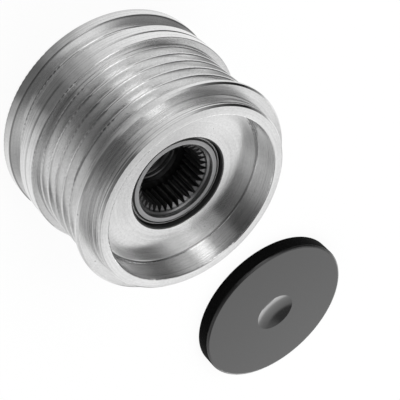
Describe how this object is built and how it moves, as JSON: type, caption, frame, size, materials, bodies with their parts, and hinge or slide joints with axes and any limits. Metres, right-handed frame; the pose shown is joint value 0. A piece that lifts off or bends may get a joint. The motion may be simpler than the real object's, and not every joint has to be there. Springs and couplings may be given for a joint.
{
  "type": "alternator pulley",
  "caption": "Overrunning alternator pulley with a grooved, flanged steel ring on a splined, threaded hub and a one-way roller clutch inside; its round black protective cap lies beside it.",
  "frame": {"origin": "centre of the hub's rear face, on the turning axis, at the surface that the pulley stands on", "axes": "+Z along the turning axis from the rear, where the alternator is, to the open front; +Y from the pulley towards the cap that lies beside it"},
  "size_m": [0.0666, 0.1786, 0.0415],
  "materials": {
    "turned_steel": "fine turned light-grey steel with lathe lines",
    "hub_steel": "satin turned steel",
    "bearing_steel": "ground bearing steel",
    "spring_steel": "drawn spring steel",
    "seal_steel": "sheet steel under a skin of black rubber",
    "seal_rubber": "black moulded rubber",
    "cage_plastic": "dark moulded plastic",
    "cap_plastic": "black moulded plastic, fine grained on top and smooth on its side"
  },
  "bodies": {
    "hub_side": {"hub": "hub_steel", "clutch_cam_ring": "bearing_steel", "clutch_cage": "cage_plastic", "clutch_rollers": "bearing_steel", "clutch_springs": "spring_steel", "front_thrust_washer": "bearing_steel", "rear_thrust_washer": "bearing_steel", "protective_cap": "cap_plastic"},
    "pulley_side": {"pulley_ring": "turned_steel", "outer_sleeve": "bearing_steel", "front_seal_case": "seal_steel", "front_seal_lip": "seal_rubber", "front_garter_spring": "spring_steel", "rear_seal_case": "seal_steel", "rear_seal_lip": "seal_rubber", "rear_garter_spring": "spring_steel"},
    "front_row": {"front_bearing_cage": "cage_plastic", "front_bearing_rollers": "bearing_steel"},
    "rear_row": {"rear_bearing_cage": "cage_plastic", "rear_bearing_rollers": "bearing_steel"}
  },
  "joints": [
    {"name": "pulley_spin", "type": "hinge", "parent": "hub_side", "child": "pulley_side", "pos_m": [0, 0, 0.018], "axis": [0, 0, 1], "continuous": true},
    {"name": "front_row_spin", "type": "hinge", "parent": "hub_side", "child": "front_row", "pos_m": [0, 0, 0.028], "axis": [0, 0, 1], "continuous": true},
    {"name": "rear_row_spin", "type": "hinge", "parent": "hub_side", "child": "rear_row", "pos_m": [0, 0, 0.008], "axis": [0, 0, 1], "continuous": true}
  ],
  "couplings": [
    {"joint": "front_row_spin", "follows": "pulley_spin", "ratio": 0.56897},
    {"joint": "rear_row_spin", "follows": "pulley_spin", "ratio": 0.56897}
  ]
}
